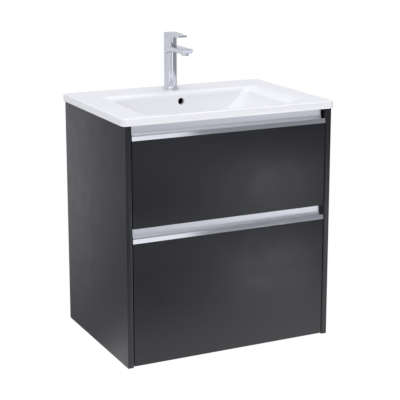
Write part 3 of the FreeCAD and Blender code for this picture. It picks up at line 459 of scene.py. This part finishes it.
# ------------------------------------------------------------------ cabinet pieces
class VANITY_OT_side_panels(bpy.types.Operator):
    """Lacquered side panels with rounded arrises"""

    bl_idname = "vanity.side_panels"
    bl_label = "Side panels"

    def execute(self, context):
        for node in ("left_side_panel", "right_side_panel"):
            low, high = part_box(node)
            board(f"{node}_lacquered", low, high, context.scene.vanity_cabinet.arris, "cabinet",
                  "anthracite_board", [node])
        return {"FINISHED"}


class VANITY_OT_drawer_fronts(bpy.types.Operator):
    """Lacquered drawer fronts with rounded arrises"""

    bl_idname = "vanity.drawer_fronts"
    bl_label = "Drawer fronts"

    def execute(self, context):
        for level in ("upper", "lower"):
            low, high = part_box(f"{level}_drawer_front")
            board(f"{level}_front_lacquered", low, high, context.scene.vanity_cabinet.arris,
                  f"{level}_drawer", "anthracite_board", [f"{level}_drawer_front"])
        return {"FINISHED"}


class VANITY_OT_grip_profiles(bpy.types.Operator):
    """Extruded aluminium grips: polished lip, rounded trough, satin back wall"""

    bl_idname = "vanity.grip_profiles"
    bl_label = "Grip profiles"

    def execute(self, context):
        cabinet = context.scene.vanity_cabinet
        for level in ("upper", "lower"):
            low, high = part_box(f"{level}_grip_profile")
            self.grip(cabinet, level, low, high)
        return {"FINISHED"}

    def grip(self, cabinet, level, low, high):
        """One extrusion, its ends notched behind the lip."""
        edge_break, past = 0.0004, 0.01
        front_board = high.y - low.y - cabinet.profile_wall
        lip_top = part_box(f"{level}_drawer_front")[1].z + cabinet.lip_height
        radius = front_board - cabinet.lip_wall
        centre_y, centre_z = low.y + cabinet.lip_wall, lip_top + radius - cabinet.trough_drop
        angles = [math.radians(-a) for a in range(0, 91, 5)]
        trough = [(centre_y + radius * math.cos(a), centre_z + radius * math.sin(a)) for a in angles]
        wall_y = low.y + front_board
        foot_slope = math.tan(math.radians(cabinet.lip_foot_lean))
        top_slope = math.tan(math.radians(cabinet.lip_lean))
        height = cabinet.lip_height - edge_break
        face = []
        for k in range(11):
            t = k / 10
            back = height * (foot_slope * t + (top_slope - foot_slope) / 2 * t ** 2)
            face.append((low.y + back, lip_top - cabinet.lip_height + height * t))
        outside = face + [
            (face[-1][0] + 0.0003, lip_top), (low.y + cabinet.lip_wall - edge_break, lip_top),
            (low.y + cabinet.lip_wall, lip_top - edge_break),
        ]
        section = outside + trough[::-1] + [
            (wall_y, high.z), (high.y, high.z), (high.y, low.z), (wall_y, low.z),
            (wall_y, lip_top - cabinet.lip_height),
        ]
        rings = [[(x, y, z) for y, z in section] for x in (low.x, high.x)]
        verts, faces = bridge(rings)
        grip = piece(f"{level}_grip_extrusion", verts, faces, f"{level}_drawer", "grip_aluminium",
                     [f"{level}_grip_profile"], [satin_anodised(), polished_aluminium()], smooth_deg=30)
        behind_lip, below = low.y + cabinet.lip_wall + edge_break, lip_top - 3 * past
        outline = [(behind_lip, below), (high.y + past, below), (high.y + past, high.z + past),
                   (behind_lip, high.z + past)]
        for side, end in ((-1, -low.x), (1, high.x)):
            loops = [[(side * x, y, z) for y, z in outline] for x in (end - cabinet.end_notch, end + past)]
            apply_boolean(grip, loose("notch_cutter", *bridge(loops)), "DIFFERENCE")
        grip.data.set_sharp_from_angle(angle=math.radians(30))
        for face in grip.data.polygons:
            front_facing = face.center.y < low.y + cabinet.lip_wall * 0.75 and abs(face.normal.x) < 0.5
            face.material_index = 1 if front_facing else 0


# ------------------------------------------------------------------ basin
BOWL_LEVELS = [
    # drop below the deck, then how far the side, front and back have drawn in (millimetres)
    (0, 0, 0, 0), (22, 11, 7, 3), (60, 44, 24, 9), (98, 92, 52, 24),
]


def smooth_levels(levels, steps):
    """Points on a smooth curve through the levels, evenly spaced between each pair."""
    grid = np.array(levels, float)
    padded = np.vstack([2 * grid[0] - grid[1], grid, 2 * grid[-1] - grid[-2]])
    out = []
    for i in range(1, len(padded) - 2):
        p0, p1, p2, p3 = padded[i - 1:i + 3]
        for k in range(steps):
            t = k / steps
            out.append(0.5 * (2 * p1 + (p2 - p0) * t + (2 * p0 - 5 * p1 + 4 * p2 - p3) * t ** 2
                              + (3 * p1 - p0 - 3 * p2 + p3) * t ** 3))
    out.append(padded[-2])
    return out


class VANITY_OT_basin(bpy.types.Operator):
    """Glazed basin: slim edge, soft rim, scooped bowl, overflow hole and hollow wall"""

    bl_idname = "vanity.basin"
    bl_label = "Basin"

    def execute(self, context):
        basin = context.scene.vanity_basin
        low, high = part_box("basin")
        waste_low, waste_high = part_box("waste_body")
        waste_x, waste_y = (waste_low.x + waste_high.x) / 2, (waste_low.y + waste_high.y) / 2
        deck = high.z
        rim_sag = 0.0001
        bowl_half = high.x - basin.rim_side
        bowl_front, bowl_back = low.y + basin.rim_front, high.y - basin.rim_back
        floor = deck - basin.bowl_depth
        hole = 0.0225
        seat_radius = 0.033
        count = len(rounded_ring(-1, -1, 1, 1, 0.1, 0))

        def slab_ring(inset, z, corner=None):
            corner = basin.corner if corner is None else corner
            return rounded_ring(low.x + inset, low.y + inset, high.x - inset, high.y - inset,
                                max(corner - inset, 0.004), z)

        def bowl_ring(drop, side, front, back, grow=0.0, soften=0.0):
            corner = 0.045 + min(drop, 0.06) * 0.25 + soften
            return rounded_ring(-bowl_half + side - grow, bowl_front + front - grow, bowl_half - side + grow,
                                bowl_back - back + grow, corner + grow, deck - drop,
                                back_corner=basin.back_corner + min(drop, 0.09) * 0.4 + grow + soften)

        def circle_ring(radius, z):
            quarter = count // 4
            start = -90 + 45 - 90 * 12 / quarter / 2
            loop = []
            for i in range(count):
                angle = math.radians(start + 360 * i / count)
                loop.append((waste_x + radius * math.cos(angle), waste_y + radius * math.sin(angle), z))
            return loop

        def mixed(a, b, t, z):
            return [((1 - t) * p[0] + t * q[0], (1 - t) * p[1] + t * q[1], z) for p, q in zip(a, b)]

        underside = deck - basin.edge
        levels = [[v * MM for v in row] for row in BOWL_LEVELS]
        bowl_levels = smooth_levels(levels, 7)
        # the glazed side, from the slim edge's foot over the rim and down the bowl
        edge = softened([(0.004, underside), (0.0, underside), (0.0, deck), (0.030, deck)], 0.0065, 7)
        top = [slab_ring(inset, z) for inset, z in edge[:-1]]
        last = slab_ring(0.010, deck)
        roll_fall = basin.roll * 0.62

        def roll_ring(angle):
            out, drop = basin.roll * (1 - math.sin(angle)), rim_sag + roll_fall * (1 - math.cos(angle))
            return bowl_ring(drop, drop * 0.5 - out * 2.2, drop * 0.32 - out * 1.05, drop * 0.136 - out * 0.6,
                             0, out)

        lip = roll_ring(0)
        for t in (0.1, 0.22, 0.36, 0.52, 0.7, 0.88):
            sag = rim_sag * math.sin(math.pi / 2 * min(t / 0.7, 1.0)) ** 2
            top.append(mixed(last, lip, t, deck - sag))
        top += [roll_ring(math.pi / 2 * step / 12) for step in range(12)]
        for drop, side, front, back in bowl_levels:
            if drop > rim_sag + roll_fall + 0.001:
                top.append(bowl_ring(drop, side, front, back))
        wall_end = top[-1]
        end_drop = bowl_levels[-1][0]
        seat = circle_ring(seat_radius, floor)
        for step in range(1, 10):
            t = step / 10
            share = math.sin(math.pi / 2 * min(1, t * 1.35)) ** 1.2
            fall = end_drop + (basin.bowl_depth - 0.001 - end_drop) * share
            top.append(mixed(wall_end, seat, t, deck - fall))
        top += [circle_ring(seat_radius, floor - 0.0005), circle_ring(seat_radius - 0.0004, floor - 0.0025),
                circle_ring(hole + 0.0005, floor - 0.0025), circle_ring(hole, floor - 0.003)]
        # the raw underside, from the hole back out to the slim edge's foot
        foot = low.z
        bottom = [circle_ring(hole, foot), circle_ring(hole + 0.013, foot),
                  circle_ring(hole + 0.014, foot + 0.001)]
        outer_levels = [row for row in bowl_levels if row[0] > basin.edge - basin.wall + 0.004]
        outer_end = bowl_ring(*outer_levels[-1], basin.wall)
        boss = circle_ring(hole + 0.014, foot)
        for step in range(1, 8):
            t = 1 - step / 8
            height = floor - basin.wall - (floor - basin.wall - (deck - end_drop - basin.wall)) * (1 - t) ** 2
            bottom.append(mixed(outer_end, boss, t, height))
        for drop, side, front, back in reversed(outer_levels):
            ring_out = bowl_ring(drop, side, front, back, basin.wall)
            bottom.append([(x, y, z - basin.wall) for x, y, z in ring_out])
        near = bottom[-1]
        bottom.append([(x, y, underside - 0.002) for x, y, _ in near])
        bottom.append(mixed(near, slab_ring(0.02, underside), 0.08, underside))
        bottom.append(slab_ring(0.02, underside))
        verts, faces = bridge(top + bottom, closed=True)
        item = piece("basin_glazed", verts, faces, "cabinet", "glazed_basin", ["basin"], smooth_deg=50)
        overflow_z = deck - basin.overflow_drop
        radius, around = basin.overflow_radius, np.linspace(0, 2 * math.pi, 40, endpoint=False)
        drill_rings = [[(radius * math.cos(a), y, overflow_z + radius * math.sin(a)) for a in around]
                       for y in (bowl_back - 0.02, bowl_back + 0.03)]
        drill = loose("overflow_drill", *bridge(drill_rings))
        apply_boolean(item, drill, "DIFFERENCE")
        item.data.shade_smooth()
        item.data.set_sharp_from_angle(angle=math.radians(50))
        self.duct(basin, low, bowl_back, overflow_z)
        return {"FINISHED"}

    def duct(self, basin, low, bowl_back, overflow_z):
        """The hollow moulding behind the overflow, open towards the hole; its inside is painted near black as
        shade.
        """
        half, depth, wall = 0.024, 0.025, 0.004
        top, foot = overflow_z + 0.018, low.z + 0.002
        front, back = bowl_back + 0.002, bowl_back + depth
        sections = [(front, 0.0), (back - 0.004, 0.0), (back, 0.004)]
        rings = [rounded_ring(-half + s, -top + s, half - s, -foot - s, 0.007, 0, 4, 3) for _, s in sections]
        loops = [[(x, y, -z) for x, z, _ in loop] for loop, (y, _) in zip(rings, sections)]
        verts, faces = bridge(loops, cap_start=False)

        def inward(x, y, z):
            lift = wall if z < foot + 0.01 else -wall if z > top - 0.01 else 0
            return x * (half - wall) / half, y - wall if y > front else y, z + lift

        inner = [[inward(*point) for point in loop] for loop in loops]
        base = len(verts)
        more, inner_faces = bridge(inner, cap_start=False)
        verts += more
        faces += [tuple(base + i for i in reversed(face)) for face in inner_faces]
        size = len(loops[0])
        faces += [(i, base + i, base + (i + 1) % size, (i + 1) % size) for i in range(size)]
        casing = piece("overflow_duct", verts, faces, "cabinet", "glazed_basin",
                       materials=[glazed_ceramic(), overflow_painted_shade()])
        # the inner faces take the near black painted shade; the outer ones stay glazed
        for face in casing.data.polygons:
            face.material_index = 1 if min(face.vertices) >= base else 0


# ------------------------------------------------------------------ waste
class VANITY_OT_waste(bpy.types.Operator):
    """Waste flange and domed plug in the bowl's floor"""

    bl_idname = "vanity.waste"
    bl_label = "Waste"

    def execute(self, context):
        low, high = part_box("waste_plug")
        centre = ((low.x + high.x) / 2, (low.y + high.y) / 2, 0)
        top, rim, radius = high.z, high.z - 0.005, (high.x - low.x) / 2
        dome = [(0.0001, low.z), (0.0038, low.z), (0.004, low.z + 0.0005), (0.004, rim - 0.002),
                (0.010, rim - 0.0005), (radius - 0.001, rim), (radius, rim + 0.0008)]
        dome += [(radius * math.cos(a), rim + 0.0012 + (top - rim - 0.0012) * math.sin(a))
                 for a in np.linspace(0.12, math.pi / 2 - 0.02, 14)]
        verts, faces = bridge(turned_rings(dome, centre))
        piece("waste_plug_domed", verts, faces, "waste_plug", "chrome_plate", ["waste_plug"])
        low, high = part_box("waste_body")
        outer = (high.x - low.x) / 2
        tube, bore = 0.021, 0.018
        flange_foot = high.z - 0.004
        profile = softened([
            (bore, low.z), (tube, low.z), (tube, flange_foot + 0.0025), (outer, flange_foot + 0.0025),
            (outer, high.z), (bore + 0.003, high.z - 0.0006), (bore, high.z - 0.004), (bore, low.z + 0.001),
        ], 0.0006)
        rings = turned_rings(profile, centre)
        verts, faces = bridge(rings, closed=True)
        piece("waste_body_turned", verts, faces, "cabinet", "chrome_plate", ["waste_body"])
        return {"FINISHED"}


# ------------------------------------------------------------------ tap
class VANITY_OT_tap_body(bpy.types.Operator):
    """Chrome column with its base flange and the flat spout"""

    bl_idname = "vanity.tap_body"
    bl_label = "Tap body"

    def execute(self, context):
        tap = context.scene.vanity_tap
        low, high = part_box("tap_body")
        flange, play, skirt, height = 0.0223, 0.0002, 0.0008, 0.121
        centre = (0, high.y - flange - play, low.z)
        # the flange's skirt reaches down over the seal
        profile = softened([
            (0.0005, 0.0), (flange - 0.0006, 0.0), (flange - 0.0006, -skirt), (flange, -skirt),
            (flange, 0.0036), (tap.column_radius + 0.0006, 0.0048),
            (tap.column_radius, 0.0062), (tap.column_radius, height), (0.0005, height),
        ], 0.0009)
        verts, faces = bridge(turned_rings(profile, centre, 96))
        body = piece("tap_column_and_spout", verts, faces, "cabinet", "chrome_plate", ["tap_body"])
        spout = loose("spout_blank", *bridge(self.spout(tap, centre, high.z)))
        apply_boolean(body, spout, "UNION")
        body.data.shade_smooth()
        body.data.set_sharp_from_angle(angle=math.radians(32))
        return {"FINISHED"}

    def spout(self, tap, centre, top):
        """Rounded sections along the spout, slanted back at the tip."""
        root_half, tip_half = 0.0176, 0.0159
        loops = []
        stations = [0.004, 0.012, 0.018, 0.022, 0.027, 0.034, 0.043, 0.055, 0.070, 0.085, 0.098, 0.106,
                    0.112]
        for reach in stations + [tap.spout_reach - 0.0012, tap.spout_reach]:
            share = reach / tap.spout_reach
            half = root_half + (tip_half - root_half) * share
            depth = 0.0125 + 0.012 * max(0.0, 1 - reach / 0.075) ** 2.2
            blunt = 0.0012 if reach == tap.spout_reach else 0.0
            slant = 0.011 * max(0.0, (reach - 0.085) / (tap.spout_reach - 0.085))
            ring_2d = rounded_ring(-half + blunt, -depth + blunt, half - blunt, -blunt, 0.0022, 0, 5, 4)
            loops.append([(x, centre[1] - reach + slant * (-z / depth), top + z) for x, z, _ in ring_2d])
        return loops


class VANITY_OT_tap_lever(bpy.types.Operator):
    """Chrome hood with its flat paddle"""

    bl_idname = "vanity.tap_lever"
    bl_label = "Tap lever"

    def execute(self, context):
        tap = context.scene.vanity_tap
        low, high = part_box("tap_lever")
        radius = tap.column_radius
        axis_y = high.y - radius
        tip_half = 0.0164
        top = high.z
        foot = low.z

        def top_at(y):
            return top - 0.0003 - 0.003 * max(0.0, -y) / tap.paddle_reach - 0.0012 * max(0.0, y) / radius

        def outline(front, inset=0.0):
            """Plan of hood and paddle reaching forward to front, in the tap's own x and y."""
            loop = [((radius - inset) * math.cos(a), (radius - inset) * math.sin(a))
                    for a in np.linspace(0, math.pi, 33)]
            reach = front - inset
            blend = min(1.0, max(0.0, (front - radius) / 0.010))
            share = max(0.0, front - radius) / (tap.paddle_reach - radius)
            half = radius + (tip_half - radius) * share - inset
            corner = 0.0035
            tongue = [(-radius + inset + (radius - inset - half) * k / 12, -(reach - corner) * k / 12)
                      for k in range(1, 12)]
            tongue += [(-half + corner - corner * math.cos(a), -(reach - corner) - corner * math.sin(a))
                       for a in np.linspace(0, math.pi / 2, 7)]
            tongue += [(-half + corner + (half - corner) * k / 4, -reach) for k in range(1, 5)]
            tongue += [(-x, y) for x, y in reversed(tongue[:-1])]
            size = len(tongue)
            for k, (x, y) in enumerate(tongue):
                angle = math.pi + math.pi * (k + 1) / (size + 1)
                round_x, round_y = (radius - inset) * math.cos(angle), (radius - inset) * math.sin(angle)
                loop.append((round_x + (x - round_x) * blend, round_y + (y - round_y) * blend))
            return loop

        def placed(loop, height):
            return [(x, axis_y + y, height(y) if callable(height) else height) for x, y in loop]

        wedge = 0.0073

        def foot_at(lift):
            return lambda y: foot + lift + wedge * max(0.0, y) / radius

        rings = [placed(outline(radius, 0.0007), foot_at(0)), placed(outline(radius), foot_at(0.0007))]
        paddle_root, paddle_tip = top - 0.0115, top - 0.003 - 0.0045
        rings.append(placed(outline(radius), paddle_root - 0.004))
        rings.append(placed(outline(radius), paddle_root))
        for step in range(1, 9):
            t = step / 8
            front = radius + (tap.paddle_reach - radius) * t
            rings.append(placed(outline(front), paddle_root + (paddle_tip - paddle_root) * t))
        for inset, drop in ((0.0, 0.0009), (0.00025, 0.0004), (0.0009, 0.0)):
            rings.append(placed(outline(tap.paddle_reach, inset), lambda y, d=drop: top_at(y) - d))
        for inset in (0.004, 0.010):
            rings.append(placed(outline(tap.paddle_reach, inset), lambda y: top_at(y) + 0.0001))
        verts, faces = bridge(rings)
        piece("tap_lever_chromed", verts, faces, "tap_lever", "chrome_plate", ["tap_lever"], smooth_deg=38)
        return {"FINISHED"}


# ------------------------------------------------------------------ carried-over CAD nodes
class VANITY_OT_finishes(bpy.types.Operator):
    """Finishes on the CAD parts that keep their own shape"""

    bl_idname = "vanity.finishes"
    bl_label = "Finishes of CAD parts"

    def execute(self, context):
        for entry in frame["record"]["subparts"]:
            item = frame["nodes"][entry["node"]]
            if item.hide_render:
                continue
            item.data.materials.clear()
            item.data.materials.append(SLOT_MATERIALS[entry["material_slot"]]())
        return {"FINISHED"}


# ------------------------------------------------------------------ stage
class VANITY_OT_studio(bpy.types.Operator):
    """Pale floor, soft lights and the camera"""

    bl_idname = "vanity.studio"
    bl_label = "Studio"

    def execute(self, context):
        studio = context.scene.vanity_studio
        low, high = CAD_BOX
        centre = (low + high) / 2
        self.floor(low.z - studio.floor_drop)
        self.surroundings(context.scene)
        self.lights()
        azimuth, elevation = math.radians(studio.azimuth), math.radians(studio.elevation)
        forward = Vector((math.sin(azimuth) * math.cos(elevation), math.cos(azimuth) * math.cos(elevation),
                          -math.sin(elevation)))
        right = Vector((math.cos(azimuth), -math.sin(azimuth), 0))
        up = right.cross(forward)
        camera = bpy.data.objects.new("camera", bpy.data.cameras.new("camera"))
        camera.location = centre + right * studio.aim_right + up * studio.aim_up - forward * studio.distance
        camera.rotation_mode = "QUATERNION"
        camera.rotation_quaternion = forward.to_track_quat("-Z", "Y")
        camera.data.lens = studio.lens
        camera.data.shift_y = studio.shift
        camera.data.clip_end = 100
        context.scene.collection.objects.link(camera)
        context.scene.camera = camera
        context.scene.view_settings.view_transform = "Standard"
        return {"FINISHED"}

    def floor(self, height):
        """A pale floor below the hung cabinet, evenly lit."""
        mesh = bpy.data.meshes.new("floor")
        side, front, back = 1.4, -1.7, 0.6
        mesh.from_pydata([(-side, front, height), (side, front, height), (side, back, height),
                          (-side, back, height)], [], [(0, 1, 2, 3)])
        floor = bpy.data.objects.new("floor", mesh)
        mesh.materials.append(surface("Studio floor", {
            "Base Color": linear("#F2F2F2"), "Emission Color": linear("#FFFFFF"), "Emission Strength": 0.8,
        }, size_mm=400, roughness=(0.7, 0.8)))
        bpy.context.scene.collection.objects.link(floor)

    def surroundings(self, scene):
        """White backdrop for the eye; a room that is bright above and dim in front for everything else."""
        world = bpy.data.worlds.new("studio")
        scene.world = world
        world.use_nodes = True
        tree = world.node_tree
        tree.nodes.clear()
        where = add_node(tree, "ShaderNodeTexCoord").outputs["Generated"]
        height = add_node(tree, "ShaderNodeSeparateXYZ", links={"Vector": where}).outputs["Z"]
        share = add_node(tree, "ShaderNodeMapRange", {"From Min": -1.0}, {"Value": height})
        ramp = add_node(tree, "ShaderNodeValToRGB", links={"Fac": share.outputs["Result"]})
        # from straight down to straight up: how bright the room is
        stops = ((0.0, 0.30), (0.28, 0.1), (0.385, 0.88), (0.5, 0.76), (0.6, 0.68), (0.8, 0.9), (1.0, 1.0))
        elements = ramp.color_ramp.elements
        elements[0].position, elements[1].position = stops[0][0], stops[-1][0]
        for position, _ in stops[1:-1]:
            elements.new(position)
        for element, (_, grey) in zip(elements, stops):
            element.color = (*(grey * tint for tint in DAYLIGHT), 1)
        front = add_node(tree, "ShaderNodeVectorMath", {"operation": "DOT_PRODUCT"}, {0: where})
        front.inputs[1].default_value = (0.75, -0.66, 0.0)
        dim = add_node(tree, "ShaderNodeMapRange", {"From Min": 0.2, "From Max": 0.9, "To Min": 1.0,
                                                    "To Max": 0.42}, {"Value": front.outputs["Value"]})
        room = add_node(tree, "ShaderNodeBackground", links={"Color": ramp.outputs["Color"],
                                                             "Strength": dim.outputs["Result"]})
        white = add_node(tree, "ShaderNodeBackground", {"Color": (1, 1, 1, 1), "Strength": 1.0})
        eye = add_node(tree, "ShaderNodeLightPath").outputs["Is Camera Ray"]
        mix = add_node(tree, "ShaderNodeMixShader", links={"Fac": eye, 1: room.outputs[0],
                                                           2: white.outputs[0]})
        add_node(tree, "ShaderNodeOutputWorld", links={"Surface": mix.outputs[0]})

    def lights(self):
        """Soft boxes: name, place, what it faces, width, height and radiance."""
        boxes = (
            ("top", (0.1, -0.3, 2.0), (0, -0.2, 0), 2.4, 1.8, 0.75),
            ("front_top", (-0.3, -2.8, 1.9), (0, -0.4, 0), 2.2, 1.2, 2.8),
            ("front_left", (-2.2, -2.6, 0.7), (0, -0.4, 0), 1.4, 1.4, 0.8),
            ("front_right_low", (1.95, -3.0, -1.1), (0, -0.4, -0.3), 1.0, 0.7, 6.0),
            ("lip_panel", (0.55, -3.15, -0.25), (-0.2, -0.4, -0.2), 1.1, 1.0, 0.8),
        )
        for name, place, towards, width, height, radiance in boxes:
            light = bpy.data.lights.new(name, "AREA")
            light.shape = "RECTANGLE"
            light.size, light.size_y = width, height
            light.energy = radiance * math.pi * width * height
            light.color = (0.975, 0.98, 1.0)
            item = bpy.data.objects.new(name, light)
            item.location = place
            item.rotation_mode = "QUATERNION"
            item.rotation_quaternion = (Vector(towards) - item.location).to_track_quat("-Z", "Y")
            item.visible_camera = False
            bpy.context.scene.collection.objects.link(item)


STEPS = (
    VANITY_OT_side_panels, VANITY_OT_drawer_fronts, VANITY_OT_grip_profiles, VANITY_OT_basin,
    VANITY_OT_waste, VANITY_OT_tap_body, VANITY_OT_tap_lever, VANITY_OT_finishes, VANITY_OT_studio,
)


class VANITY_PT_build(bpy.types.Panel):
    """Build steps in the 3D view's sidebar"""

    bl_idname = "VANITY_PT_build"
    bl_label = "Bathroom vanity"
    bl_space_type = "VIEW_3D"
    bl_region_type = "UI"
    bl_category = "Vanity"

    def draw(self, context):
        for step in STEPS:
            self.layout.operator(step.bl_idname)


CLASSES = (*SETTINGS.values(), *STEPS, VANITY_PT_build)


def register():
    for item in CLASSES:
        bpy.utils.register_class(item)
    for name, group in SETTINGS.items():
        setattr(bpy.types.Scene, name, bpy.props.PointerProperty(type=group))


def unregister():
    for name in SETTINGS:
        delattr(bpy.types.Scene, name)
    for item in reversed(CLASSES):
        bpy.utils.unregister_class(item)


def main():
    """Register the add-on, then build every piece and the stage."""
    register()
    for step in STEPS:
        group, _, name = step.bl_idname.partition(".")
        getattr(getattr(bpy.ops, group), name)()


if __name__ == "__main__":
    main()
